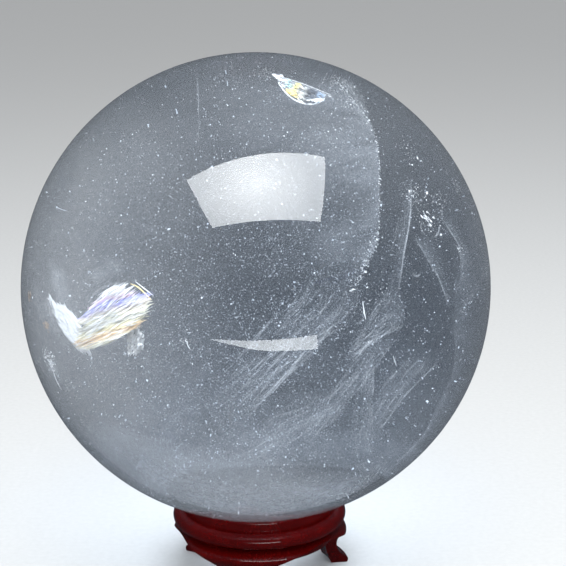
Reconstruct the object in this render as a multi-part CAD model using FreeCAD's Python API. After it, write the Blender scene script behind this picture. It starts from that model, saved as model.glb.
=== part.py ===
"""Polished rock-crystal ball resting in a small turned and carved three-legged ring stand.

Units are millimetres. The origin is on the table, under the middle of the ball, with +Z up and
the viewer standing on the -Y side. Three separate pieces, one STEP file each:
  crystal_ball  a solid sphere, loose in its seat, lifts straight up
  seat_ring     turned ring with a dished seat, a raised lip, a bead and a spigot
  stand_base    turned base with a flared skirt, carved into three arches and three legs
"""
import FreeCAD
import Part
import math
import os

# Ball
BALL_RADIUS = 40.0
BALL_CENTRE_Z = 52.0

# Seat ring
SEAT_CLEARANCE = 0.10           # between the ball and the dished seat, concentric with it
SEAT_BORE_RADIUS = 9.5
SEAT_OUTER_RADIUS = 12.6        # where the dished face ends at the lip
LIP_RADIUS = 13.0
LIP_DROP = 0.30                 # rounded outer edge of the lip, this tall
LIP_ROUNDING = (0.12, 0.08)     # how far its middle stands in from the corner (across, down)
VALLEY_RADIUS = 13.2            # foot of the lip's wall, where the bead starts
BEAD_RADIUS = 1.35
BEAD_CENTRE_RADIUS = 14.0
BEAD_CENTRE_Z = 10.95
GROOVE_RADIUS = 13.1
JOINT_Z = 9.6                   # the ring's shoulder rests on the base here, inside the groove
SPIGOT_RADIUS = 12.0
SPIGOT_CLEARANCE = 0.05         # glue line round the spigot
SPIGOT_BOTTOM_Z = 8.3

# Base: the hub that takes the spigot
HUB_BORE_RADIUS = 10.4
HUB_OUTER_RADIUS = 12.9
HUB_BOTTOM_Z = 6.6
COUNTERBORE_FLOOR_Z = 8.2
CUT_PAST = 1.0                  # cutters run this far past the face they open

# Base: turned outline of skirt and leg, outside from the groove down to the toe (radius, z)
SKIRT_SHOULDER = (13.75, 9.25)
SKIRT_OUTLINE = [(13.75, 9.25), (14.25, 8.80), (14.80, 8.45), (15.25, 8.12), (15.50, 7.72)]
LEG_OUTLINE = [(15.50, 7.72), (15.40, 7.20), (14.85, 6.40), (14.25, 5.50), (13.95, 4.50),
               (13.95, 3.50), (14.30, 2.40), (15.00, 1.55), (15.70, 1.10)]
TOE_OUTLINE = [(15.70, 1.10), (16.05, 0.80), (16.08, 0.40), (15.80, 0.00)]
HEEL_RADIUS = 13.0
INNER_OUTLINE = [(13.00, 0.00), (12.30, 1.80), (11.90, 3.40), (11.70, 5.00), (11.60, 6.60)]

# Base: the three legs. Azimuths run from the -Y direction towards +X
FRONT_LEG_AZIMUTH = -12.0
LEG_COUNT = 3
HALF_PITCH_DEG = 180.0 / LEG_COUNT
# Half the angle that a leg covers at each height, from below the foot up to the arch's crown
LEG_HALF_ANGLES = [(-1.0, 11.2), (0.6, 11.0), (1.8, 10.5), (3.2, 10.4), (4.4, 11.2), (5.5, 12.8),
                   (6.5, 16.2), (7.2, 21.5), (7.8, 30.0), (8.3, 42.0), (8.55, 52.0)]
ARCH_CROWN_Z = 8.62
CUTTER_NEAR = 6.0               # the arch cutter spans these distances from the axis
CUTTER_FAR = 24.0
SEAM_AZIMUTH = 90.0             # turned faces close here, so the first arch is carved over it


def point(radius, z):
    """A point of a turned outline, in the XZ half plane."""
    return FreeCAD.Vector(radius, 0.0, z)


def line(start, end):
    return Part.makeLine(point(*start), point(*end))


def spline(outline):
    curve = Part.BSplineCurve()
    curve.interpolate([point(*place) for place in outline])
    return curve.toShape()


def arc(start, through, end):
    return Part.Arc(point(*start), point(*through), point(*end)).toShape()


def turned(edges):
    """The solid that a closed outline sweeps round the Z axis."""
    face = Part.Face(Part.Wire(edges))
    return face.revolve(FreeCAD.Vector(0, 0, 0), FreeCAD.Vector(0, 0, 1), 360)


def tube(inner_radius, outer_radius, bottom_z, top_z):
    height = top_z - bottom_z
    base = FreeCAD.Vector(0, 0, bottom_z)
    return Part.makeCylinder(outer_radius, height, base).cut(Part.makeCylinder(inner_radius, height, base))


def dish_z(radius):
    """Height of the dished seat, a zone of a sphere just larger than the ball."""
    return BALL_CENTRE_Z - math.sqrt((BALL_RADIUS + SEAT_CLEARANCE) ** 2 - radius ** 2)


def bead_point(angle_deg):
    angle = math.radians(angle_deg)
    return (BEAD_CENTRE_RADIUS + BEAD_RADIUS * math.cos(angle), BEAD_CENTRE_Z + BEAD_RADIUS * math.sin(angle))


def make_ball():
    return Part.makeSphere(BALL_RADIUS, FreeCAD.Vector(0, 0, BALL_CENTRE_Z))


def make_seat_ring():
    bore_top = (SEAT_BORE_RADIUS, dish_z(SEAT_BORE_RADIUS))
    middle = (SEAT_BORE_RADIUS + SEAT_OUTER_RADIUS) / 2
    dish_end = (SEAT_OUTER_RADIUS, dish_z(SEAT_OUTER_RADIUS))
    lip_edge = (LIP_RADIUS, dish_end[1] - LIP_DROP)
    lip_shoulder = (LIP_RADIUS - LIP_ROUNDING[0], dish_end[1] - LIP_ROUNDING[1])
    valley_angle = math.degrees(math.acos((VALLEY_RADIUS - BEAD_CENTRE_RADIUS) / BEAD_RADIUS))
    valley = bead_point(valley_angle)
    tuck_angle = -math.degrees(math.acos((GROOVE_RADIUS - BEAD_CENTRE_RADIUS) / BEAD_RADIUS))
    tuck = bead_point(tuck_angle)
    groove_foot = (GROOVE_RADIUS, JOINT_Z)
    spigot_top = (SPIGOT_RADIUS, JOINT_Z)
    spigot_end = (SPIGOT_RADIUS, SPIGOT_BOTTOM_Z)
    bore_end = (SEAT_BORE_RADIUS, SPIGOT_BOTTOM_Z)
    return turned([
        arc(bore_top, (middle, dish_z(middle)), dish_end),
        arc(dish_end, lip_shoulder, lip_edge),
        line(lip_edge, valley),
        arc(valley, bead_point((valley_angle + tuck_angle) / 2), tuck),
        line(tuck, groove_foot),
        line(groove_foot, spigot_top),
        line(spigot_top, spigot_end),
        line(spigot_end, bore_end),
        line(bore_end, bore_top),
    ])


def make_turned_skirt():
    """Skirt and leg outline, before the arches are carved."""
    hub_top = (SPIGOT_RADIUS - CUT_PAST, JOINT_Z)
    groove_edge = (GROOVE_RADIUS, JOINT_Z)
    return turned([
        line(hub_top, groove_edge),
        line(groove_edge, SKIRT_SHOULDER),
        spline(SKIRT_OUTLINE),
        spline(LEG_OUTLINE),
        spline(TOE_OUTLINE),
        line(TOE_OUTLINE[-1], (HEEL_RADIUS, 0.0)),
        spline(INNER_OUTLINE),
        line(INNER_OUTLINE[-1], hub_top),
    ])


def arch_section(distance):
    """The arch's opening where the cutter crosses a plane at a distance from the axis."""
    def place(half_angle, z, side):
        spread = math.radians(HALF_PITCH_DEG - half_angle)
        return FreeCAD.Vector(side * distance * math.tan(spread), -distance, z)

    left = [place(angle, z, -1) for z, angle in LEG_HALF_ANGLES]
    right = [place(angle, z, 1) for z, angle in reversed(LEG_HALF_ANGLES)]
    crown = FreeCAD.Vector(0, -distance, ARCH_CROWN_Z)
    curve = Part.BSplineCurve()
    curve.interpolate(left + [crown] + right)
    return Part.Wire([curve.toShape(), Part.makeLine(right[-1], left[0])])


def rotated(shape, azimuth_deg):
    """A copy turned about the Z axis."""
    copy = shape.copy()
    copy.rotate(FreeCAD.Vector(0, 0, 0), FreeCAD.Vector(0, 0, 1), azimuth_deg)
    return copy


def make_stand_base():
    cutter = Part.makeLoft([arch_section(CUTTER_NEAR), arch_section(CUTTER_FAR)], True, True)
    skirt = make_turned_skirt()
    for index in range(LEG_COUNT):
        skirt = skirt.cut(rotated(cutter, SEAM_AZIMUTH + index * 2 * HALF_PITCH_DEG))
    hub = tube(HUB_BORE_RADIUS, HUB_OUTER_RADIUS, HUB_BOTTOM_Z, JOINT_Z)
    depth = JOINT_Z - COUNTERBORE_FLOOR_Z + CUT_PAST
    floor = FreeCAD.Vector(0, 0, COUNTERBORE_FLOOR_Z)
    counterbore = Part.makeCylinder(SPIGOT_RADIUS + SPIGOT_CLEARANCE, depth, floor)
    base = skirt.fuse(hub).cut(counterbore).removeSplitter()
    first_leg_azimuth = SEAM_AZIMUTH - HALF_PITCH_DEG
    return rotated(base, FRONT_LEG_AZIMUTH - first_leg_azimuth)


PIECES = {
    "crystal_ball": make_ball,
    "seat_ring": make_seat_ring,
    "stand_base": make_stand_base,
}

os.makedirs("parts", exist_ok=True)
for name, make in PIECES.items():
    shape = make()
    shape.exportStep(f"parts/{name}.step")
    box = shape.BoundBox
    print(f"{name}: {len(shape.Solids)} solid, valid {shape.isValid()}, {shape.Volume:.1f} mm3,",
          f"x {box.XMin:.2f} to {box.XMax:.2f}, y {box.YMin:.2f} to {box.YMax:.2f},",
          f"z {box.ZMin:.2f} to {box.ZMax:.2f}")
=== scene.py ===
import bpy
import math
import numpy as np
from mathutils import Matrix, Vector


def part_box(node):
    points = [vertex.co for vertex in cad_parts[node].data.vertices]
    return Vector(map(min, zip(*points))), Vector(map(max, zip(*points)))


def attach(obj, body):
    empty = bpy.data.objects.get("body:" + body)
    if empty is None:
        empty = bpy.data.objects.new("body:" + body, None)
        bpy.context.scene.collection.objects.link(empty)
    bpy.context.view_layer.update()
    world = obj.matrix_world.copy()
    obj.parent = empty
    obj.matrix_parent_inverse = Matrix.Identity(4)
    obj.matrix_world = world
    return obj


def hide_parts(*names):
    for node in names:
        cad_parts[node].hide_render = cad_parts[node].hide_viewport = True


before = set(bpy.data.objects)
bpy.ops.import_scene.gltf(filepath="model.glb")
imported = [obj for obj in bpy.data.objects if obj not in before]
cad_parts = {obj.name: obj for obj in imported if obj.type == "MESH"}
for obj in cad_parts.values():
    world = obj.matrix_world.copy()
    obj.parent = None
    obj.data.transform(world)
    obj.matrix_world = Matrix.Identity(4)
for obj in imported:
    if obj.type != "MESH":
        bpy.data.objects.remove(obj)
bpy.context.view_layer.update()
rng = np.random.default_rng(466)
MM = 0.001

ball_lo, ball_hi = (np.array(corner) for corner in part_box("crystal_ball"))
BALL = (ball_lo + ball_hi) / 2          # centre
R = float(ball_hi[2] - ball_lo[2]) / 2  # radius
QUARTZ_IOR = 1.544

# ------------------------------------------------------------------ camera
CAMERA_ELEVATION = math.radians(13.5)
CAMERA_DISTANCE = 6.46 * R
LENS = 95.4    # millimetres
SENSOR = 36.0  # millimetres
AIM_RIGHT, AIM_UP = 0.115 * R, 0.016 * R
ROLL = math.radians(-0.57)

back = np.array([0.0, -math.cos(CAMERA_ELEVATION), math.sin(CAMERA_ELEVATION)])
up = np.array([0.0, math.sin(CAMERA_ELEVATION), math.cos(CAMERA_ELEVATION)])
right = np.array([1.0, 0.0, 0.0])
eye = BALL + back * CAMERA_DISTANCE

camera_data = bpy.data.cameras.new("camera")
camera_data.lens = LENS
camera_data.sensor_width = SENSOR
camera_data.clip_start = 0.01
camera = bpy.data.objects.new("camera", camera_data)
bpy.context.scene.collection.objects.link(camera)
aim = Vector(BALL + right * AIM_RIGHT + up * AIM_UP) - Vector(eye)
camera.rotation_mode = "QUATERNION"
camera.rotation_quaternion = aim.to_track_quat("-Z", "Y") @ Matrix.Rotation(ROLL, 3, "Z").to_quaternion()
camera.location = eye
bpy.context.scene.camera = camera


# ------------------------------------------------------------------ helpers
def new_object(name, verts, faces, smooth=True):
    mesh = bpy.data.meshes.new(name)
    mesh.from_pydata([tuple(v) for v in verts], [], [tuple(f) for f in faces])
    mesh.update()
    mesh.polygons.foreach_set("use_smooth", [smooth] * len(mesh.polygons))
    piece = bpy.data.objects.new(name, mesh)
    bpy.context.scene.collection.objects.link(piece)
    return piece


def finish_piece(piece, body, mat):
    piece.data.materials.clear()
    piece.data.materials.append(mat)
    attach(piece, body)
    return piece


class Nodes:
    """Short hand for building a node tree."""

    def __init__(self, name):
        self.mat = bpy.data.materials.new(name)
        self.mat.use_nodes = True
        self.tree = self.mat.node_tree
        self.tree.nodes.clear()
        self.out = self.tree.nodes.new("ShaderNodeOutputMaterial")

    def add(self, kind, inputs=None, **attributes):
        node = self.tree.nodes.new(kind)
        for key, value in attributes.items():
            setattr(node, key, value)
        for key, value in (inputs or {}).items():
            self.plug(node.inputs[key], value)
        return node

    def plug(self, socket, value):
        if isinstance(value, bpy.types.NodeSocket):
            self.tree.links.new(value, socket)
        else:
            socket.default_value = value

    def place(self):
        return self.add("ShaderNodeTexCoord").outputs["Object"]

    def noise(self, vector, scale, detail=4.0, roughness=0.55, distortion=0.0):
        node = self.add("ShaderNodeTexNoise", {"Vector": vector, "Scale": scale, "Detail": detail,
                                               "Roughness": roughness, "Distortion": distortion})
        return node.outputs["Fac"]

    def ramp(self, value, stops, interpolation="LINEAR"):
        node = self.add("ShaderNodeValToRGB", {"Fac": value})
        node.color_ramp.interpolation = interpolation
        elements = node.color_ramp.elements
        while len(elements) < len(stops):
            elements.new(0.5)
        for element, (position, colour) in zip(elements, stops):
            element.position = position
            element.color = colour if len(colour) == 4 else (*colour, 1.0)
        return node.outputs["Color"]

    def remap(self, value, low, high, to_low=0.0, to_high=1.0):
        node = self.add("ShaderNodeMapRange", {"Value": value, "From Min": low, "From Max": high,
                                               "To Min": to_low, "To Max": to_high})
        return node.outputs["Result"]

    def maths(self, operation, first, second=0.0):
        node = self.add("ShaderNodeMath", operation=operation)
        self.plug(node.inputs[0], first)
        self.plug(node.inputs[1], second)
        return node.outputs[0]

    def vector_maths(self, operation, first, second):
        return self.add("ShaderNodeVectorMath", {0: first, 1: tuple(second)}, operation=operation)

    def bump(self, height, strength, distance=0.1 * MM):
        node = self.add("ShaderNodeBump", {"Height": height, "Strength": strength, "Distance": distance})
        return node.outputs["Normal"]


# ------------------------------------------------------------------ materials
def clouds(most, least, scale, places):
    """Milkiness that drifts by noise and rises, or thins, about the given places."""
    def cover(n, p):
        total = n.remap(n.noise(p, scale, 5.0, 0.6, 0.3), 0.25, 0.8, least, most)
        for centre, radius, gain in places:
            reach = n.vector_maths("DISTANCE", p, centre).outputs["Value"]
            total = n.maths("MULTIPLY", total, n.remap(reach, 0.2 * radius, radius, gain, 1.0))
        return total
    return cover


def polished_quartz(milkiness):
    n = Nodes("polished_quartz")
    p = n.place()
    cloud = n.noise(p, 24.0, 5.0, 0.6, 0.4)
    fine = n.noise(p, 700.0, 2.0)
    grain = n.remap(n.noise(p, 2200.0, 3.0, 0.75), 0.3, 0.7, 0.65, 1.35)
    milk = n.maths("MULTIPLY", milkiness(n, p), grain)
    glass = n.add("ShaderNodeBsdfPrincipled", {
        "Base Color": n.ramp(cloud, [(0.3, (0.82, 0.86, 0.92)), (0.7, (0.90, 0.93, 0.97))]),
        "Roughness": n.remap(fine, 0.3, 0.7, 0.0, 0.02), "IOR": QUARTZ_IOR,
        "Transmission Weight": n.maths("SUBTRACT", 1.0, milk),
        "Sheen Weight": 0.05, "Sheen Roughness": 0.45})
    clear_shadow = n.add("ShaderNodeBsdfTransparent", {"Color": (0.92, 0.95, 0.98, 1.0)})
    path = n.add("ShaderNodeLightPath")
    mix = n.add("ShaderNodeMixShader", {0: path.outputs["Is Shadow Ray"]})
    n.tree.links.new(glass.outputs[0], mix.inputs[1])
    n.tree.links.new(clear_shadow.outputs[0], mix.inputs[2])
    n.tree.links.new(mix.outputs[0], n.out.inputs["Surface"])
    absorb = n.add("ShaderNodeVolumeAbsorption", {"Color": (0.70, 0.74, 0.80, 1.0), "Density": 10.0})
    n.tree.links.new(absorb.outputs[0], n.out.inputs["Volume"])
    return n.mat


def inclusions(name, dark, light, roughness=0.45, metallic=0.0):
    """Solid flecks inside the stone, each a little different in tone."""
    n = Nodes(name)
    tone = n.noise(n.place(), 1500.0, 1.0)
    surface = n.add("ShaderNodeBsdfPrincipled", {
        "Base Color": n.ramp(tone, [(0.35, dark), (0.65, light)]), "Roughness": roughness,
        "Metallic": metallic, "Specular IOR Level": 0.8, "Normal": n.bump(tone, 0.15)})
    n.tree.links.new(surface.outputs[0], n.out.inputs["Surface"])
    return n.mat


def thin_haze(name, colour, cover_by):
    """A see-through milky layer; `cover_by` makes its cover from the nodes and the place."""
    n = Nodes(name)
    p = n.place()
    grain = n.noise(p, 1300.0, 3.0, 0.7)
    cover = n.maths("MULTIPLY", cover_by(n, p), n.remap(grain, 0.35, 0.65, 0.7, 1.25))
    milk = n.add("ShaderNodeBsdfPrincipled", {
        "Base Color": n.ramp(grain, [(0.3, colour), (0.75, tuple(min(1.0, c * 1.12) for c in colour))]),
        "Roughness": 0.8, "Specular IOR Level": 0.1})
    gap = n.add("ShaderNodeBsdfTransparent")
    mix = n.add("ShaderNodeMixShader", {0: cover})
    n.tree.links.new(gap.outputs[0], mix.inputs[1])
    n.tree.links.new(milk.outputs[0], mix.inputs[2])
    n.tree.links.new(mix.outputs[0], n.out.inputs["Surface"])
    return n.mat


def veil_cover(most, scale):
    """Cover that follows the sheet's own fade, broken up by wisps."""
    def cover(n, p):
        fade = n.add("ShaderNodeAttribute", attribute_name="fade").outputs["Fac"]
        drawn = n.add("ShaderNodeMapping", {"Vector": p, "Rotation": (0.0, math.radians(50.0), 0.0),
                                            "Scale": (0.16, 1.0, 1.0)}).outputs[0]
        wisps = n.remap(n.noise(drawn, scale, 5.0, 0.65, 0.5), 0.32, 0.68, 0.2, 1.3)
        return n.maths("MULTIPLY", n.maths("MULTIPLY", fade, wisps), most)
    return cover


def painted_iridescence(name, origin, across, pitch, stops):
    """Painted iridescence of a thin crack: the colours light reflects off it, painted as bands of base
    colour across the crack, broken by its striations.
    """
    n = Nodes(name)
    p = n.place()
    offset = n.vector_maths("SUBTRACT", p, origin).outputs[0]
    along = n.vector_maths("DOT_PRODUCT", offset, across).outputs["Value"]
    wander = n.remap(n.noise(p, 260.0, 4.0, 0.6), 0.3, 0.7, -0.05, 0.05)
    band = n.maths("ADD", n.maths("DIVIDE", along, pitch), wander)
    colour = n.ramp(band, stops)
    facets = n.noise(p, 900.0, 3.0)
    surface = n.add("ShaderNodeBsdfPrincipled", {
        "Base Color": colour, "Roughness": n.remap(facets, 0.3, 0.7, 0.25, 0.5),
        "Normal": n.bump(facets, 0.15), "Specular IOR Level": 0.3})
    n.tree.links.new(surface.outputs[0], n.out.inputs["Surface"])
    return n.mat


def red_lacquer():
    n = Nodes("red_lacquered_wood")
    p = n.place()
    stretch = n.add("ShaderNodeMapping", {"Vector": p, "Scale": (1.0, 0.12, 1.0)}).outputs[0]
    grain = n.noise(stretch, 1400.0, 6.0, 0.6, 0.8)
    broad = n.noise(p, 160.0, 3.0)
    tone = n.maths("ADD", n.maths("MULTIPLY", grain, 0.6), n.maths("MULTIPLY", broad, 0.4))
    colour = n.ramp(tone, [(0.30, (0.024, 0.0003, 0.0003)), (0.50, (0.038, 0.0006, 0.0006)),
                           (0.70, (0.055, 0.0012, 0.0010))])
    surface = n.add("ShaderNodeBsdfPrincipled", {
        "Base Color": colour, "Roughness": n.remap(grain, 0.3, 0.7, 0.24, 0.38),
        "Normal": n.bump(grain, 0.12), "Specular IOR Level": 0.0,
        "Coat Weight": 1.0, "Coat Roughness": 0.08})
    n.tree.links.new(surface.outputs[0], n.out.inputs["Surface"])
    return n.mat


LACQUER = red_lacquer()


# ------------------------------------------------------------------ ball
def quad_sphere(name, radius, cells):
    """A sphere of even quads: a divided cube pushed out to the radius."""
    index, verts, faces = {}, [], []
    ticks = np.tan(np.linspace(-math.pi / 4, math.pi / 4, cells + 1))
    for axis in range(3):
        for side in (-1.0, 1.0):
            grid = {}
            for i, a in enumerate(ticks):
                for j, b in enumerate(ticks):
                    v = np.empty(3)
                    v[axis], v[(axis + 1) % 3], v[(axis + 2) % 3] = side, a, b
                    v *= radius / np.linalg.norm(v)
                    key = tuple(np.round(v, 8))
                    if key not in index:
                        index[key] = len(verts)
                        verts.append(BALL + v)
                    grid[i, j] = index[key]
            for i in range(cells):
                for j in range(cells):
                    quad = [grid[i, j], grid[i + 1, j], grid[i + 1, j + 1], grid[i, j + 1]]
                    faces.append(quad if side > 0 else quad[::-1])
    return new_object(name, verts, faces)


for node in ("seat_ring", "stand_base"):
    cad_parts[node].data.materials.clear()
    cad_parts[node].data.materials.append(LACQUER)


# ------------------------------------------------------------------ inside the ball
DISC = R / math.sqrt(CAMERA_DISTANCE ** 2 - R ** 2)  # tangent of the ball's apparent radius


def inside(across, above, depth):
    """The point in the stone that shows at a place on the ball's face.

    across and above are in ball radii from the middle of the face, as seen from the front, and
    depth runs along the bent line of sight from 0, where it enters, to 1, where it leaves.
    """
    ray = -back + (right * across + up * above) * DISC
    ray /= np.linalg.norm(ray)
    offset = eye - BALL
    along = offset @ ray
    entry = offset + ray * (-along - math.sqrt(max(along ** 2 - offset @ offset + R ** 2, 0.0)))
    normal = entry / R
    cosine = -normal @ ray
    ratio = 1.0 / QUARTZ_IOR
    bent = ratio * ray + (ratio * cosine - math.sqrt(1.0 - ratio ** 2 * (1.0 - cosine ** 2))) * normal
    chord = -2.0 * (entry @ bent)
    return BALL + entry + bent * chord * depth


def smooth_path(places, count):
    """Evenly spaced points on a smooth curve through (across, above, depth) places."""
    places = np.array(places, float)
    knots = np.concatenate([[0.0], np.cumsum(np.linalg.norm(np.diff(places[:, :2], axis=0), axis=1))])
    padded = np.vstack([2 * places[0] - places[1], places, 2 * places[-1] - places[-2]])
    out = []
    for t in np.linspace(0.0, knots[-1], count):
        i = min(int(np.searchsorted(knots, t, side="right")) - 1, len(places) - 2)
        s = (t - knots[i]) / (knots[i + 1] - knots[i])
        a, b, c, d = padded[i:i + 4]
        out.append(0.5 * (2 * b + (c - a) * s + (2 * a - 5 * b + 4 * c - d) * s ** 2
                          + (3 * b - a - 3 * c + d) * s ** 3))
    return np.array(out)


def at_depth(depth, *pairs):
    """(across, above) pairs given one depth."""
    return [(*pair, depth) for pair in pairs]


def held_in(points, share=0.985):
    """Points drawn back inside the polished surface."""
    offset = np.asarray(points) - BALL
    reach = np.linalg.norm(offset, axis=1, keepdims=True)
    return BALL + offset * np.minimum(1.0, share * R / np.maximum(reach, 1e-9))


def stone_piece(name, mat, *shapes, smooth=False):
    """One named piece in the stone from shapes: (points, faces, fade of each point)."""
    verts, faces, fades = [], [], []
    for shape_verts, shape_faces, shape_fades in shapes:
        base = len(verts)
        verts.extend(shape_verts)
        faces.extend(tuple(base + i for i in face) for face in shape_faces)
        fades.extend(shape_fades)
    piece = new_object(name, held_in(verts), faces, smooth)
    fade = piece.data.attributes.new("fade", "FLOAT", "POINT")
    fade.data.foreach_set("value", np.array(fades, np.float32))
    return finish_piece(piece, "ball", mat)


def four_cornered(verts):
    """A shape of separate four-cornered plates, every four points one plate."""
    return verts, np.arange(len(verts)).reshape(-1, 4).tolist(), [1.0] * len(verts)


def flecks(centres, size, vary=0.4, stretch=1.6):
    """Tiny flakes at the centres, tilted at random, about `size` across."""
    centres = held_in(centres)
    count = len(centres)
    sizes = rng.lognormal(math.log(size), vary, count)
    normals = rng.normal(size=(count, 3))
    normals /= np.linalg.norm(normals, axis=1, keepdims=True)
    other = np.cross(normals, rng.normal(size=(count, 3)))
    other /= np.linalg.norm(other, axis=1, keepdims=True)
    side = np.cross(other, normals)
    long_half = (sizes * 0.5 * rng.uniform(0.6 * stretch, stretch, count))[:, None]
    short_half = (sizes * 0.5)[:, None]
    corners = [centres + side * long_half * rng.uniform(0.7, 1.0, (count, 1)),
               centres + other * short_half * rng.uniform(0.6, 1.0, (count, 1)),
               centres - side * long_half * rng.uniform(0.7, 1.0, (count, 1)),
               centres - other * short_half * rng.uniform(0.6, 1.0, (count, 1))]
    return four_cornered(np.stack(corners, 1).reshape(-1, 3))


def strip(line, half):
    """A flat strip along a line of points, facing the front, `half` wide to each side."""
    across = np.cross(np.gradient(line, axis=0), back)
    across /= np.maximum(np.linalg.norm(across, axis=1, keepdims=True), 1e-12)
    count = len(line)
    verts = np.vstack([line - across * half[:, None], line + across * half[:, None]])
    return verts, [(i, i + 1, count + i + 1, count + i) for i in range(count - 1)]


def ribbon(places, width, count=60, ragged=0.35):
    """A thin uneven streak along a path, widest in its middle."""
    line = np.array([inside(*place) for place in smooth_path(places, count)])
    swell = np.sin(np.linspace(0.06, math.pi - 0.06, count)) ** 0.5
    verts, faces = strip(line, 0.5 * width * swell * rng.uniform(1.0 - ragged, 1.0 + ragged, count))
    return verts, faces, np.tile(swell, 2)


RIM_LIMIT = 0.97            # ball radii
DEPTH_LIMITS = (0.03, 0.97)


def inward(across, above, depth):
    """`inside`, drawn in from the rim of the ball's face and from both ends of the line of sight."""
    shrink = min(1.0, RIM_LIMIT / max(math.hypot(across, above), 1e-9))
    return inside(across * shrink, above * shrink, min(max(depth, DEPTH_LIMITS[0]), DEPTH_LIMITS[1]))


def grid_faces(rows, columns):
    return [(r * columns + c, r * columns + c + 1, (r + 1) * columns + c + 1, (r + 1) * columns + c)
            for r in range(rows - 1) for c in range(columns - 1)]


def veil(edge, limit, power=1.0, onset=0.0, rows=20, columns=36):
    """A curved sheet from an edge to a limit where it fades out.

    The edge is distinct, or comes up softly over the first `onset` of the sheet.
    """
    a, b = smooth_path(edge, columns), smooth_path(limit, columns)
    ends = np.minimum(1.0, 2.2 * np.sin(np.linspace(0.0, math.pi, columns)))
    verts, fades = [], []
    for t in np.linspace(0.0, 1.0, rows):
        verts += [inward(*place) for place in a * (1 - t) + b * t]
        fades += list((1.0 - t) ** power * ends * (min(1.0, t / onset) if onset else 1.0))
    return verts, grid_faces(rows, columns), fades


def streaks(edge, limit, count, width, bias=1.5, steps=12):
    """Many fine faint hairs that run along a veil, closest together near its edge."""
    a, b = smooth_path(edge, 100), smooth_path(limit, 100)
    verts, faces, fades = [], [], []
    for _ in range(count):
        share = rng.uniform() ** bias + rng.normal(scale=0.08) * np.linspace(-1.0, 1.0, steps)
        start = rng.uniform(0.0, 65.0)
        rows = np.linspace(start, min(start + rng.uniform(18.0, 45.0), 99.0), steps).astype(int)
        places = a[rows] * (1 - share[:, None]) + b[rows] * share[:, None]
        line = np.array([inward(*place) for place in places])
        swell = np.sin(np.linspace(0.05, math.pi - 0.05, steps))
        strip_verts, strip_faces = strip(line, 0.5 * width * rng.uniform(0.5, 1.3) * swell)
        faces += [tuple(len(verts) + i for i in face) for face in strip_faces]
        verts += list(strip_verts)
        fades += list(swell * rng.uniform(0.4, 1.0)) * 2
    return verts, faces, fades


def speckled(edge, limit, count, size, bias=1.0, spread=0.012):
    """Flecks on the sheet between two paths, denser near the edge when bias is above 1."""
    a, b = smooth_path(edge, 60), smooth_path(limit, 60)
    picks = rng.integers(0, 60, count)
    t = rng.uniform(size=(count, 1)) ** bias
    places = a[picks] * (1 - t) + b[picks] * t + rng.normal(scale=spread, size=(count, 3)) * (1, 1, 1.5)
    return flecks(np.array([inward(*place) for place in places]), size)


def beads(path, count, size, spread=0.12 * MM):
    """A string of small grains along a path."""
    points = np.array([inside(*place) for place in smooth_path(path, count)])
    return flecks(points + rng.normal(scale=spread, size=points.shape), size)


def cluster(place, spread, count, size):
    """Flecks gathered about a place; the spread is in ball radii."""
    return flecks(inside(*place) + rng.normal(scale=spread * R, size=(count, 3)), size, 0.45)


def face_direction(across, above):
    """A direction across the ball's face, in the frame of the part."""
    way = right * across + up * above
    return way / np.linalg.norm(way)


def shards(outline, count, width, length, heading, depth, lift=0.35, lean=0.0):
    """Long thin plates laid side by side inside an outline, each leaning a little differently.

    The outline is (across, above) pairs; `heading` is the angle in degrees the plates run at, and
    `lean` sets their tops further back.
    """
    outline = np.array(outline)
    low, high, middle = outline.min(0), outline.max(0), outline.mean(0)
    x, y = outline[:, 0], outline[:, 1]
    nx, ny = np.roll(x, -1), np.roll(y, -1)
    verts = []
    while len(verts) < 4 * count:
        spot = rng.uniform(low, high)
        spans = (y > spot[1]) != (ny > spot[1])
        crossings = spans & (spot[0] < (nx - x) * (spot[1] - y) / (ny - y + 1e-12) + x)
        if crossings.sum() % 2 == 0:
            continue
        angle = math.radians(heading) + rng.normal(scale=0.12)
        run = 0.5 * length * rng.uniform(0.4, 1.0) * np.array([math.cos(angle), math.sin(angle)])
        side = 0.5 * width * rng.uniform(0.4, 1.0) * np.array([-math.sin(angle), math.cos(angle)])
        tilt = rng.normal(scale=lift * 0.02)
        deep = depth + rng.uniform(-0.012, 0.012)
        corners = ((spot - run, -tilt), (spot + side, 0.0), (spot + run, tilt), (spot - side, 0.0))
        for flat, extra in corners:
            verts.append(inward(*flat, deep + extra + lean * (flat[1] - middle[1])))
    return four_cornered(verts)


def loop(centre, wide, high, depth, start, end, count=9):
    """Places round part of an oval, in ball radii."""
    angles = np.radians(np.linspace(start, end, count))
    return [(centre[0] + wide * math.cos(a), centre[1] + high * math.sin(a), depth) for a in angles]


WHITE = inclusions("inclusion_white", (0.70, 0.76, 0.84), (0.95, 0.97, 1.0))
DULL = inclusions("inclusion_dull", (0.35, 0.38, 0.42), (0.75, 0.79, 0.85))
BRIGHT = inclusions("inclusion_bright", (0.94, 0.96, 0.98), (1.0, 1.0, 1.0), 0.30)
GLINT = inclusions("inclusion_glint", (0.90, 0.93, 0.97), (1.0, 1.0, 1.0), 0.12, 1.0)
GOLDEN = inclusions("inclusion_golden", (0.85, 0.62, 0.20), (1.0, 0.86, 0.45), 0.35)
BROWN = inclusions("inclusion_brown", (0.18, 0.11, 0.06), (0.42, 0.29, 0.18), 0.6)
MILK = (0.82, 0.86, 0.93)
VEIL = thin_haze("veil_haze", MILK, veil_cover(0.14, 200.0))
DENSE = thin_haze("dense_haze", (0.86, 0.90, 0.95), veil_cover(0.30, 300.0))
FEATHERY = thin_haze("feathery_haze", MILK, veil_cover(0.09, 240.0))
CLOUD = thin_haze("cloud_haze", (0.82, 0.85, 0.90), veil_cover(0.30, 60.0))
HAIR = thin_haze("hair_haze", (0.88, 0.92, 0.97), veil_cover(0.20, 300.0))
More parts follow.
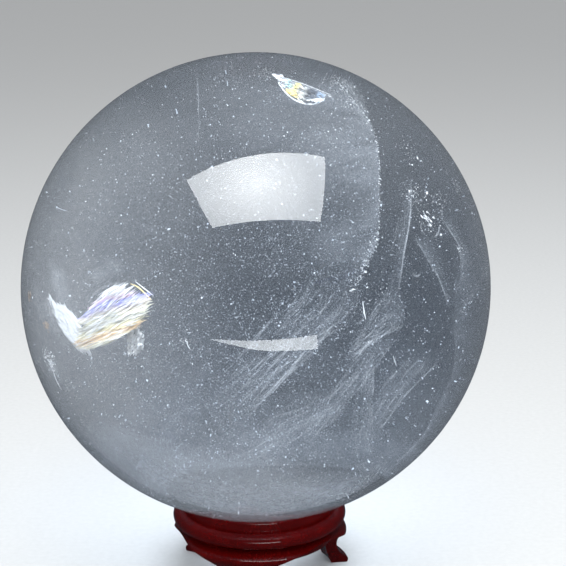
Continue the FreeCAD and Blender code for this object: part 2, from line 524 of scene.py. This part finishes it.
SOLID = thin_haze("solid_haze", (0.92, 0.95, 0.98), veil_cover(0.95, 500.0))

# the polished ball, its milk thick on the left and low down, thin in the middle and on the right: partly
# the stone's own milk and partly a painted brighter rim and painted darker middle, as the ball shows from
# the front. (centre, radius, how many times the milk)
MILK_AND_PAINTED_RIM_PLACES = [
    (inside(-0.02, -0.10, 0.05), 0.70 * R, 0.42), (inside(0.66, -0.20, 0.05), 0.80 * R, 0.14),
    (inside(-0.50, -0.72, 0.02), 0.85 * R, 2.8), (inside(-0.84, 0.08, 0.02), 0.80 * R, 3.6),
    (inside(0.0, -0.93, 0.02), 0.50 * R, 1.6), (inside(0.10, 0.55, 0.03), 0.60 * R, 1.35)]
CLEARER_RIGHT = [(inside(0.66, -0.20, 0.20), 0.80 * R, 0.30)]
shell = finish_piece(quad_sphere("polished_ball", R, 56), "ball",
                     polished_quartz(clouds(0.050, 0.032, 24.0, MILK_AND_PAINTED_RIM_PLACES)))
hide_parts("crystal_ball")
finish_piece(quad_sphere("milky_haze", 0.66 * R, 24), "ball",
             thin_haze("milky_haze", MILK, clouds(0.050, 0.0, 42.0, CLEARER_RIGHT)))


DUST_REACH = 0.84 * R  # flecks nearer the surface show too large through the back of the ball


def dust(count, size, place=None, spread=None):
    """Flecks all through the stone, or gathered about a place, `spread` in ball radii."""
    spots = rng.normal(size=(count, 3))
    if place is None:
        reach = (rng.uniform(size=(count, 1)) ** 0.40) * DUST_REACH
        spots *= reach / np.linalg.norm(spots, axis=1, keepdims=True)
        return flecks(BALL + spots, size)
    return flecks(inside(*place) + spots * spread * R, size)


stone_piece("dust_fine", DULL, dust(12000, 0.09 * MM), dust(9000, 0.09 * MM, (-0.05, -0.22, 0.35), 0.34))
stone_piece("dust_specks", WHITE, dust(3800, 0.10 * MM), dust(4200, 0.10 * MM, (-0.10, -0.25, 0.35), 0.32))
stone_piece("dust_glints", GLINT, dust(1600, 0.10 * MM, (-0.10, -0.20, 0.35), 0.30))

# the large veil and its beaded edge
BEADED = [(0.335, 0.895, 0.20), (0.45, 0.755, 0.20), (0.515, 0.64, 0.19), (0.53, 0.50, 0.18),
          (0.53, 0.36, 0.18), (0.525, 0.24, 0.18), (0.51, 0.16, 0.18), (0.46, 0.08, 0.19),
          (0.44, 0.02, 0.20)]
BEADED_FOOT = at_depth(0.19, (0.525, 0.235), (0.49, 0.165), (0.465, 0.095), (0.44, 0.04), (0.40, -0.03))
VEIL_LIMIT = [(-0.25, 0.93, 0.35), (-0.22, 0.75, 0.4), (-0.15, 0.55, 0.42), (-0.05, 0.4, 0.45),
              (0.0, 0.2, 0.42), (0.05, 0.05, 0.40)]
stone_piece("large_veil", VEIL, veil(BEADED, VEIL_LIMIT), smooth=True)
stone_piece("beaded_edge", BRIGHT, beads(BEADED, 300, 0.15 * MM),
            beads(BEADED_FOOT, 120, 0.15 * MM, 0.25 * MM))
stone_piece("large_veil_specks", DULL, speckled(BEADED, VEIL_LIMIT, 4200, 0.09 * MM, bias=1.6))

# the milky slope that runs on from its foot, down to the left
SLOPE_EDGE = at_depth(0.24, (0.45, 0.06), (0.42, -0.10), (0.30, -0.22), (0.20, -0.32), (0.10, -0.41),
                      (-0.02, -0.52), (-0.12, -0.62))
SLOPE_LIMIT = at_depth(0.42, (0.20, 0.10), (0.15, -0.04), (0.08, -0.12), (0.0, -0.20), (-0.08, -0.28),
                       (-0.18, -0.38), (-0.28, -0.46))
stone_piece("milky_slope", FEATHERY, veil(SLOPE_EDGE, SLOPE_LIMIT, 1.2, 0.2), smooth=True)
stone_piece("milky_slope_hairs", HAIR, streaks(SLOPE_EDGE, SLOPE_LIMIT, 110, 0.16 * MM))
stone_piece("milky_slope_specks", DULL,
            speckled(SLOPE_EDGE, SLOPE_LIMIT, 2400, 0.09 * MM, bias=1.4, spread=0.03))

# the feathery veils low on the right: (edge, limit, power)
FEATHERS = [
    # the wedge
    (at_depth(0.20, (0.37, -0.345), (0.44, -0.29), (0.53, -0.23), (0.61, -0.18), (0.64, -0.10)),
     at_depth(0.26, (0.40, -0.20), (0.46, -0.13), (0.52, -0.06), (0.56, 0.0), (0.58, 0.08)), 0.8),
    # the upright streak
    (at_depth(0.18, (0.505, -0.31), (0.49, -0.45), (0.487, -0.61), (0.492, -0.78)),
     at_depth(0.24, (0.45, -0.32), (0.42, -0.46), (0.39, -0.62), (0.41, -0.78)), 1.2),
    # the long diagonal
    (at_depth(0.16, (0.78, -0.32), (0.62, -0.48), (0.545, -0.585), (0.52, -0.62), (0.49, -0.73),
              (0.455, -0.80)),
     at_depth(0.22, (0.66, -0.24), (0.53, -0.38), (0.45, -0.50), (0.41, -0.58), (0.38, -0.70),
              (0.36, -0.79)), 1.3),
    # the band low in the middle
    (at_depth(0.22, (0.40, -0.53), (0.31, -0.56), (0.21, -0.615), (0.13, -0.67), (0.04, -0.73),
              (-0.05, -0.78)),
     at_depth(0.30, (0.30, -0.42), (0.23, -0.44), (0.14, -0.50), (0.03, -0.56), (-0.08, -0.62),
              (-0.16, -0.67)), 1.1),
    # the band between the wedge and that one
    (at_depth(0.26, (0.62, -0.20), (0.50, -0.36), (0.40, -0.48), (0.30, -0.60), (0.22, -0.70)),
     at_depth(0.32, (0.52, -0.16), (0.42, -0.30), (0.32, -0.42), (0.22, -0.52), (0.13, -0.62)), 1.0),
    # the pale bottom
    (at_depth(0.16, (0.0, -0.79), (0.13, -0.83), (0.27, -0.865), (0.365, -0.865), (0.455, -0.82),
              (0.52, -0.745)),
     at_depth(0.14, (-0.03, -0.95), (0.08, -0.96), (0.22, -0.95), (0.34, -0.92), (0.46, -0.86),
              (0.56, -0.77)), 0.6)]
stone_piece("feather_veils", FEATHERY,
            *(veil(edge, limit, power, 0.25) for edge, limit, power in FEATHERS), smooth=True)
stone_piece("feather_hairs", HAIR,
            *(streaks(edge, limit, 60, 0.12 * MM) for edge, limit, power in FEATHERS))
stone_piece("feather_specks", DULL,
            *(speckled(edge, limit, 340, 0.09 * MM, 1.5, 0.02) for edge, limit, power in FEATHERS))

# the right rim and the three veils seen nearly edge-on beside it: (edge, limit, power). The edges of
# those three are also drawn as faint lines below.
LINE_A = [(0.667, 0.47), (0.664, 0.335), (0.653, 0.245), (0.633, 0.145), (0.62, 0.06), (0.605, -0.035)]
LINE_B = [(0.674, 0.21), (0.73, 0.11), (0.778, 0.025), (0.805, -0.05), (0.82, -0.11)]
LINE_C = [(0.778, 0.30), (0.825, 0.233), (0.867, 0.157), (0.872, 0.06)]
RIM_VEILS = [
    (at_depth(0.14, (0.845, 0.06), (0.845, -0.05), (0.84, -0.16), (0.84, -0.32), (0.81, -0.42),
              (0.76, -0.52), (0.70, -0.635), (0.62, -0.72), (0.52, -0.80)),
     at_depth(0.10, (0.96, 0.06), (0.96, -0.05), (0.955, -0.17), (0.92, -0.30), (0.88, -0.42),
              (0.83, -0.51), (0.76, -0.62), (0.67, -0.71), (0.56, -0.79)), 0.7),
    (at_depth(0.16, *LINE_A),
     at_depth(0.20, (0.62, 0.45), (0.61, 0.33), (0.60, 0.24), (0.58, 0.15), (0.57, 0.06), (0.55, -0.03)),
     2.0),
    (at_depth(0.15, *LINE_B),
     at_depth(0.14, (0.74, 0.24), (0.79, 0.15), (0.83, 0.06), (0.85, -0.01), (0.86, -0.08)), 1.5),
    (at_depth(0.12, *LINE_C, (0.865, -0.03)),
     at_depth(0.10, (0.83, 0.32), (0.875, 0.24), (0.91, 0.16), (0.92, 0.06), (0.91, -0.03)), 1.5)]
stone_piece("rim_veils", FEATHERY,
            *(veil(edge, limit, power) for edge, limit, power in RIM_VEILS), smooth=True)
stone_piece("rim_veil_hairs", HAIR,
            *(streaks(edge, limit, 12, 0.10 * MM, bias=2.5) for edge, limit, power in RIM_VEILS))
stone_piece("rim_veil_specks", DULL,
            *(speckled(edge, limit, 260, 0.09 * MM, 1.5, 0.02) for edge, limit, power in RIM_VEILS))

# milk gathered low in the stone, over the seat
FOOT_EDGE = [(-0.72, -0.52), (-0.50, -0.60), (-0.25, -0.66), (-0.02, -0.69), (0.15, -0.735),
             (0.30, -0.76), (0.44, -0.75), (0.56, -0.69)]
FOOT_LIMIT = [(-0.80, -0.56), (-0.62, -0.74), (-0.40, -0.88), (-0.10, -0.965), (0.08, -0.965),
              (0.25, -0.935), (0.42, -0.875), (0.58, -0.775)]
stone_piece("foot_cloud", CLOUD, *(
    veil(at_depth(depth, *FOOT_EDGE), at_depth(depth, *FOOT_LIMIT), 0.0, 0.55, rows=30, columns=60)
    for depth in (0.10, 0.45)), smooth=True)

# the rainbow crack on the left: plates that rise to the right, in bands of painted iridescence (reflected
# colours painted as base colour)
FAN_TOP = [(-0.735, -0.110), (-0.690, -0.055), (-0.640, -0.002), (-0.585, 0.014), (-0.535, -0.008),
           (-0.482, -0.050), (-0.560, -0.070), (-0.640, -0.100)]
FAN_FOOT = [(-0.740, -0.120), (-0.650, -0.085), (-0.560, -0.050), (-0.478, -0.030), (-0.495, -0.120),
            (-0.540, -0.175), (-0.605, -0.215), (-0.684, -0.243), (-0.740, -0.230), (-0.725, -0.170)]
# bands of painted iridescence: the crack's reflected rainbow, given as base colours
FAN_PAINTED_BANDS = [
    (0.00, (1.0, 1.0, 0.93)), (0.10, (1.0, 0.97, 0.76)), (0.18, (1.0, 0.70, 0.40)),
    (0.25, (1.0, 0.93, 0.62)), (0.32, (0.78, 0.77, 0.72)), (0.37, (1.0, 0.98, 0.78)),
    (0.45, (1.0, 0.92, 0.84)), (0.50, (0.62, 0.58, 0.96)), (0.55, (0.40, 0.46, 0.92)),
    (0.585, (0.96, 0.66, 0.84)), (0.63, (0.96, 0.93, 0.97)), (0.70, (1.0, 1.0, 1.0))]
PAINTED_RAINBOW = painted_iridescence("crack_painted_rainbow", inside(-0.655, -0.265, 0.06), face_direction(-0.30, 0.954),
                           0.29 * R, FAN_PAINTED_BANDS)
stone_piece("rainbow_crack", PAINTED_RAINBOW, shards(FAN_FOOT, 1300, 0.010, 0.12, 24.0, 0.07, 0.12, 0.15),
            shards(FAN_TOP, 170, 0.006, 0.09, 34.0, 0.07, 0.3, 0.15))
stone_piece("rainbow_crack_edges", BRIGHT, shards(FAN_FOOT, 110, 0.005, 0.10, 24.0, 0.055, 0.5, 0.2),
            shards(FAN_TOP, 60, 0.004, 0.08, 40.0, 0.055, 0.5, 0.2))
FAN_BED_EDGE = at_depth(0.09, (-0.74, -0.235), (-0.68, -0.245), (-0.60, -0.22), (-0.50, -0.13))
FAN_BED_LIMIT = at_depth(0.09, (-0.735, -0.12), (-0.66, -0.03), (-0.58, 0.01), (-0.50, -0.04))
stone_piece("rainbow_crack_bed", SOLID, veil(FAN_BED_EDGE, FAN_BED_LIMIT, power=0.8), smooth=True)

# the white flare beside it and the pale plate below it
FLARE = [(-0.868, -0.045), (-0.845, -0.075), (-0.80, -0.090), (-0.765, -0.125), (-0.742, -0.215),
         (-0.715, -0.262), (-0.765, -0.240), (-0.805, -0.200), (-0.840, -0.145), (-0.858, -0.095)]
PALE_PLATE = [(-0.55, -0.175), (-0.50, -0.17), (-0.478, -0.21), (-0.485, -0.255), (-0.515, -0.28),
              (-0.548, -0.275)]
stone_piece("white_flare", BRIGHT, shards(FLARE, 1300, 0.014, 0.085, -56.0, 0.16, 0.12, 0.24))
stone_piece("pale_plate", BRIGHT, shards(PALE_PLATE, 300, 0.012, 0.022, 65.0, 0.10, 0.3))

# the flare's soft plumes, one above it, one over the crack and one at the rim, and its skirt
PLUMES = [
    (at_depth(0.16, (-0.90, 0.16), (-0.885, 0.08), (-0.87, -0.01), (-0.82, -0.10), (-0.76, -0.21),
              (-0.70, -0.255)),
     at_depth(0.18, (-0.82, 0.13), (-0.80, 0.06), (-0.78, -0.01), (-0.745, -0.08), (-0.71, -0.17),
              (-0.66, -0.23))),
    (at_depth(0.10, (-0.70, 0.08), (-0.63, 0.125), (-0.56, 0.135)),
     at_depth(0.12, (-0.71, 0.0), (-0.64, 0.03), (-0.56, 0.05))),
    (at_depth(0.18, (-0.955, 0.03), (-0.945, -0.06), (-0.92, -0.13)),
     at_depth(0.18, (-0.915, 0.02), (-0.905, -0.07), (-0.88, -0.14)))]
SKIRT_EDGE = at_depth(0.16, (-0.875, -0.02), (-0.86, -0.08), (-0.82, -0.16), (-0.77, -0.22))
SKIRT_LIMIT = at_depth(0.18, (-0.92, -0.04), (-0.91, -0.11), (-0.87, -0.20), (-0.81, -0.27))
stone_piece("white_flare_plume", DENSE,
            *(veil(edge, limit, onset=0.4) for edge, limit in PLUMES), smooth=True)
stone_piece("white_flare_skirt", SOLID, veil(SKIRT_EDGE, SKIRT_LIMIT, power=1.5), smooth=True)

# fine lines: (path, width)
BRIGHT_LINES = [
    (at_depth(0.10, (-0.868, -0.34), (-0.855, -0.38), (-0.836, -0.421)), 0.16 * MM),
    (at_depth(0.08, (-0.515, 0.032), (-0.475, 0.0), (-0.438, -0.03)), 0.14 * MM),
    (at_depth(0.14, (-0.30, -0.225), (-0.294, -0.245), (-0.284, -0.262)), 0.12 * MM),
    (at_depth(0.08, (0.085, 0.904), (0.163, 0.880), (0.231, 0.855), (0.334, 0.812)), 0.14 * MM),
    (at_depth(0.08, (0.105, 0.868), (0.139, 0.824), (0.177, 0.794), (0.226, 0.777), (0.275, 0.781),
              (0.305, 0.803)), 0.32 * MM),
    (at_depth(0.14, (0.452, -0.065), (0.456, -0.10), (0.464, -0.145)), 0.18 * MM),
    (at_depth(0.14, (0.578, -0.300), (0.585, -0.322), (0.592, -0.345)), 0.12 * MM)]
FAINT_LINES = [
    (at_depth(0.15, *LINE_A), 0.288 * MM),
    (at_depth(0.14, *LINE_B), 0.272 * MM),
    (at_depth(0.11, *LINE_C), 0.24 * MM),
    (at_depth(0.15, (0.78, -0.32), (0.70, -0.40), (0.62, -0.48), (0.545, -0.585)), 0.24 * MM),
    (at_depth(0.30, (-0.245, 0.96), (-0.235, 0.80), (-0.238, 0.60)), 0.128 * MM),
    (at_depth(0.07, (-0.729, -0.10), (-0.70, -0.035), (-0.667, 0.0), (-0.61, 0.024), (-0.55, 0.024)),
     0.288 * MM),
    (loop((0.752, 0.245), 0.032, 0.044, 0.11, 265, 385), 0.352 * MM),
    (loop((0.745, 0.25), 0.040, 0.040, 0.11, 150, 235), 0.288 * MM),
    (loop((0.685, 0.062), 0.018, 0.024, 0.12, 195, 345), 0.352 * MM),
    (loop((0.685, 0.375), 0.034, 0.024, 0.12, 20, 330), 0.256 * MM)]
GOLDEN_PATH = at_depth(0.08, (-0.535, 0.022), (-0.50, 0.005), (-0.446, -0.048))
GOLDEN_SPOT = [(0.138, 0.838), (0.158, 0.842), (0.182, 0.822), (0.176, 0.808), (0.150, 0.822)]
stone_piece("bright_lines", BRIGHT, *(ribbon(path, width) for path, width in BRIGHT_LINES))
stone_piece("faint_lines", HAIR, *(ribbon(path, width) for path, width in FAINT_LINES))
stone_piece("golden_line", GOLDEN, ribbon(GOLDEN_PATH, 0.20 * MM),
            shards(GOLDEN_SPOT, 60, 0.010, 0.024, -40.0, 0.075, 0.1, 0.1))
stone_piece("brown_spots", BROWN, cluster((-0.962, -0.022, 0.10), 0.008, 110, 0.22 * MM),
            cluster((-0.893, -0.150, 0.10), 0.009, 90, 0.22 * MM))

# the lens-shaped crack near the top, its reflected colours painted as bands of base colour
LENS = [(0.085, 0.905), (0.13, 0.897), (0.163, 0.876), (0.231, 0.851), (0.30, 0.817), (0.334, 0.808),
        (0.301, 0.800), (0.284, 0.786), (0.226, 0.779), (0.177, 0.795), (0.139, 0.827), (0.109, 0.866)]
# bands of painted iridescence: the lens crack's reflected colours, the dark bands too, given as base
# colours
LENS_PAINTED_BANDS = [
    (0.0, (0.95, 0.97, 1.0)), (0.14, (0.55, 0.95, 0.92)), (0.24, (1.0, 0.82, 0.30)),
    (0.36, (0.80, 0.79, 0.74)), (0.48, (0.10, 0.11, 0.13)), (0.62, (0.13, 0.15, 0.19)),
    (0.74, (0.62, 0.78, 1.0)), (0.86, (1.0, 1.0, 1.0))]
LENS_PAINTED_IRIDESCENCE = painted_iridescence("lens_crack_painted_iridescence", inside(0.12, 0.85, 0.08),
                                face_direction(0.95, -0.31), 0.21 * R, LENS_PAINTED_BANDS)
LENS_BEDS = [  # (edge, limit, power, onset)
    (at_depth(0.10, (0.085, 0.905), (0.163, 0.876), (0.231, 0.851), (0.334, 0.808)),
     at_depth(0.10, (0.109, 0.860), (0.150, 0.815), (0.226, 0.779), (0.301, 0.800)), 0.2, 0.0),
    (at_depth(0.12, (0.33, 0.91), (0.38, 0.84), (0.44, 0.74), (0.48, 0.66)),
     at_depth(0.14, (0.42, 0.89), (0.47, 0.81), (0.50, 0.72), (0.52, 0.64)), 1.0, 0.5)]
stone_piece("lens_crack", LENS_PAINTED_IRIDESCENCE, shards(LENS, 150, 0.012, 0.030, -30.0, 0.09, 0.15, 0.1))
stone_piece("lens_crack_bed", DENSE, *(veil(*bed) for bed in LENS_BEDS), smooth=True)

# sparkling breaks: the faceted chip on the right, the lens crack's lower edge, and scattered
# clusters: (place, spread, count, size)
CHIP = [(0.700, 0.288), (0.722, 0.300), (0.740, 0.318), (0.762, 0.290), (0.756, 0.250), (0.735, 0.240),
        (0.728, 0.262)]
LENS_FOOT = [(0.225, 0.792), (0.262, 0.800), (0.292, 0.797), (0.27, 0.783)]
CLUSTERS = [
    ((0.37, 0.86, 0.12), 0.030, 330, 0.11 * MM), ((0.42, 0.79, 0.12), 0.030, 260, 0.10 * MM),
    ((0.05, 0.91, 0.10), 0.022, 110, 0.10 * MM), ((-0.886, -0.285, 0.09), 0.018, 170, 0.18 * MM),
    ((-0.872, -0.325, 0.09), 0.014, 130, 0.18 * MM), ((-0.30, -0.215, 0.14), 0.016, 50, 0.12 * MM),
    ((0.752, 0.245, 0.11), 0.030, 70, 0.10 * MM), ((0.30, 0.64, 0.14), 0.07, 130, 0.12 * MM),
    ((0.66, 0.565, 0.13), 0.035, 90, 0.12 * MM), ((0.69, 0.375, 0.12), 0.030, 150, 0.13 * MM),
    ((0.79, 0.355, 0.12), 0.022, 80, 0.13 * MM), ((0.35, -0.885, 0.12), 0.05, 200, 0.12 * MM),
    ((0.47, -0.82, 0.12), 0.02, 60, 0.13 * MM), ((0.86, 0.415, 0.10), 0.016, 60, 0.12 * MM),
    ((0.872, 0.15, 0.10), 0.014, 50, 0.12 * MM), ((0.46, -0.06, 0.18), 0.07, 260, 0.11 * MM),
    ((-0.60, -0.34, 0.12), 0.09, 90, 0.13 * MM), ((-0.33, -0.68, 0.10), 0.16, 110, 0.12 * MM)]
stone_piece("sparkling_breaks", BRIGHT, shards(CHIP, 24, 0.007, 0.024, -50.0, 0.11, 0.5, 0.15),
            shards(LENS_FOOT, 40, 0.008, 0.022, -10.0, 0.075, 0.1, 0.1))
stone_piece("sparkle_clusters", BRIGHT, *(cluster(*entry) for entry in CLUSTERS))


FAR_COLUMNS = 30
EDGE_FLECKS = 260


def direction(azimuth, elevation):
    """A unit vector out of the ball; azimuth 0 faces the viewer and 90 the viewer's right."""
    a, e = math.radians(azimuth), math.radians(elevation)
    return np.array([math.sin(a) * math.cos(e), -math.cos(a) * math.cos(e), math.sin(e)])


def far_veil(azimuth, elevation, size, bend, rows=14, columns=FAR_COLUMNS):
    """A veil that only shows from the sides and the back, its first row the distinct edge."""
    out = direction(azimuth, elevation)
    level = np.cross(out, (0.0, 0.0, 1.0))
    level /= np.linalg.norm(level)
    rise = np.cross(level, out)
    verts, fades = [], []
    for t in np.linspace(0.0, 1.0, rows):
        for s in np.linspace(-1.0, 1.0, columns):
            curve = bend * s * s + 0.25 * math.sin(2.2 * s + bend * 9)
            height = size * ((t - 0.5) * 0.8 + 0.3 * curve)
            verts.append(BALL + (out * (0.62 + 0.16 * curve) + level * s * size + rise * height) * R)
            fades.append((1.0 - t) ** 1.5 * min(1.0, 4.0 * math.sin(math.pi * (s + 1) / 2)))
    return verts, grid_faces(rows, columns), fades


def edge_flecks(shape):
    """Flecks along the first row of a far veil."""
    verts = np.array(shape[0])
    picks = rng.integers(0, FAR_COLUMNS, EDGE_FLECKS)
    return flecks(verts[picks] + rng.normal(scale=0.6 * MM, size=(EDGE_FLECKS, 3)), 0.11 * MM)


FAR_VEILS = [far_veil(160.0, -30.0, 0.50, -0.1), far_veil(262.0, -8.0, 0.42, 0.1),
             far_veil(100.0, 12.0, 0.42, 0.3)]
stone_piece("far_veils", FEATHERY, *FAR_VEILS, smooth=True)
stone_piece("far_veil_edges", WHITE, *(edge_flecks(shape) for shape in FAR_VEILS))


# ------------------------------------------------------------------ floor and light
def pale_floor():
    n = Nodes("pale_floor")
    grain = n.noise(n.place(), 900.0, 3.0)
    surface = n.add("ShaderNodeBsdfPrincipled", {
        "Base Color": n.ramp(grain, [(0.3, (0.46, 0.46, 0.457)), (0.7, (0.49, 0.49, 0.487))]),
        "Roughness": 0.8, "Specular IOR Level": 0.2})
    n.tree.links.new(surface.outputs[0], n.out.inputs["Surface"])
    return n.mat


FLOOR_HALF = 6.0
FLOOR_CORNERS = [(x * FLOOR_HALF, y * FLOOR_HALF, 0.0) for x, y in ((-1, -1), (1, -1), (1, 1), (-1, 1))]
floor = new_object("floor", FLOOR_CORNERS, [(0, 1, 2, 3)])
floor.data.materials.append(pale_floor())
floor.visible_transmission = False
floor.visible_glossy = False


GLOW_MIDDLE, GLOW_EDGE = 1.62, 0.80  # of a panel's strength


def emitter(name, verts, strength, centre, reach):
    """A soft lamp panel, brightest at its centre, not seen directly or through the stone."""
    n = Nodes(name)
    distance = n.vector_maths("DISTANCE", n.place(), centre).outputs["Value"]
    glow = n.remap(distance, 0.0, reach, GLOW_MIDDLE * strength, GLOW_EDGE * strength)
    light = n.add("ShaderNodeEmission", {"Color": (0.95, 0.98, 1.0, 1.0), "Strength": glow})
    n.tree.links.new(light.outputs[0], n.out.inputs["Surface"])
    panel = new_object(name, verts, [tuple(range(len(verts)))], smooth=False)
    panel.data.materials.append(n.mat)
    panel.visible_camera = False
    panel.visible_transmission = False


def towards(azimuth, elevation, distance):
    return BALL + distance * direction(azimuth, elevation)


SOFTBOX_STRENGTH = 11.0
SOFTBOX_CORNERS = [towards(-55, 55.8, 0.62), towards(-8, 74.5, 0.57), towards(73, 62, 0.60),
                   towards(37, 38.8, 0.62), towards(-24, 38.7, 0.62)]
STRIP_STRENGTH = 6.0
STRIP_CORNERS = [towards(-19.5, -7.6, 0.178), towards(24.4, -7.1, 0.19), towards(24.9, -12.9, 0.19),
                 towards(0.5, -12.1, 0.175)]
emitter("softbox", SOFTBOX_CORNERS, SOFTBOX_STRENGTH, towards(1.4, 60.5, 0.58), 0.25)
emitter("low_strip", STRIP_CORNERS, STRIP_STRENGTH, towards(6, -10, 0.18), 0.1)

# a pale studio all round, and a dark one for reflections and what shows through the stone, so that
# the stone's own milk shows
ROOM_COLOUR = (0.90, 0.92, 0.94, 1.0)
SHADE_COLOUR = (0.040, 0.048, 0.058, 1.0)
world = bpy.data.worlds.new("studio")
world.use_nodes = True
bpy.context.scene.world = world
tree = world.node_tree
room = tree.nodes["Background"]
room.inputs["Color"].default_value = ROOM_COLOUR
room.inputs["Strength"].default_value = 1.0
shade = tree.nodes.new("ShaderNodeBackground")
shade.inputs["Color"].default_value = SHADE_COLOUR
seen = tree.nodes.new("ShaderNodeLightPath")
either = tree.nodes.new("ShaderNodeMath")
either.operation = "MAXIMUM"
tree.links.new(seen.outputs["Is Transmission Ray"], either.inputs[0])
tree.links.new(seen.outputs["Is Glossy Ray"], either.inputs[1])
pick = tree.nodes.new("ShaderNodeMixShader")
tree.links.new(either.outputs[0], pick.inputs[0])
tree.links.new(room.outputs[0], pick.inputs[1])
tree.links.new(shade.outputs[0], pick.inputs[2])
tree.links.new(pick.outputs[0], tree.nodes["World Output"].inputs["Surface"])

scene = bpy.context.scene
scene.view_settings.view_transform = "Standard"
scene.cycles.use_denoising = True
scene.cycles.max_bounces = 16
scene.cycles.transmission_bounces = 12
scene.cycles.transparent_max_bounces = 48
scene.cycles.sample_clamp_indirect = 6.0
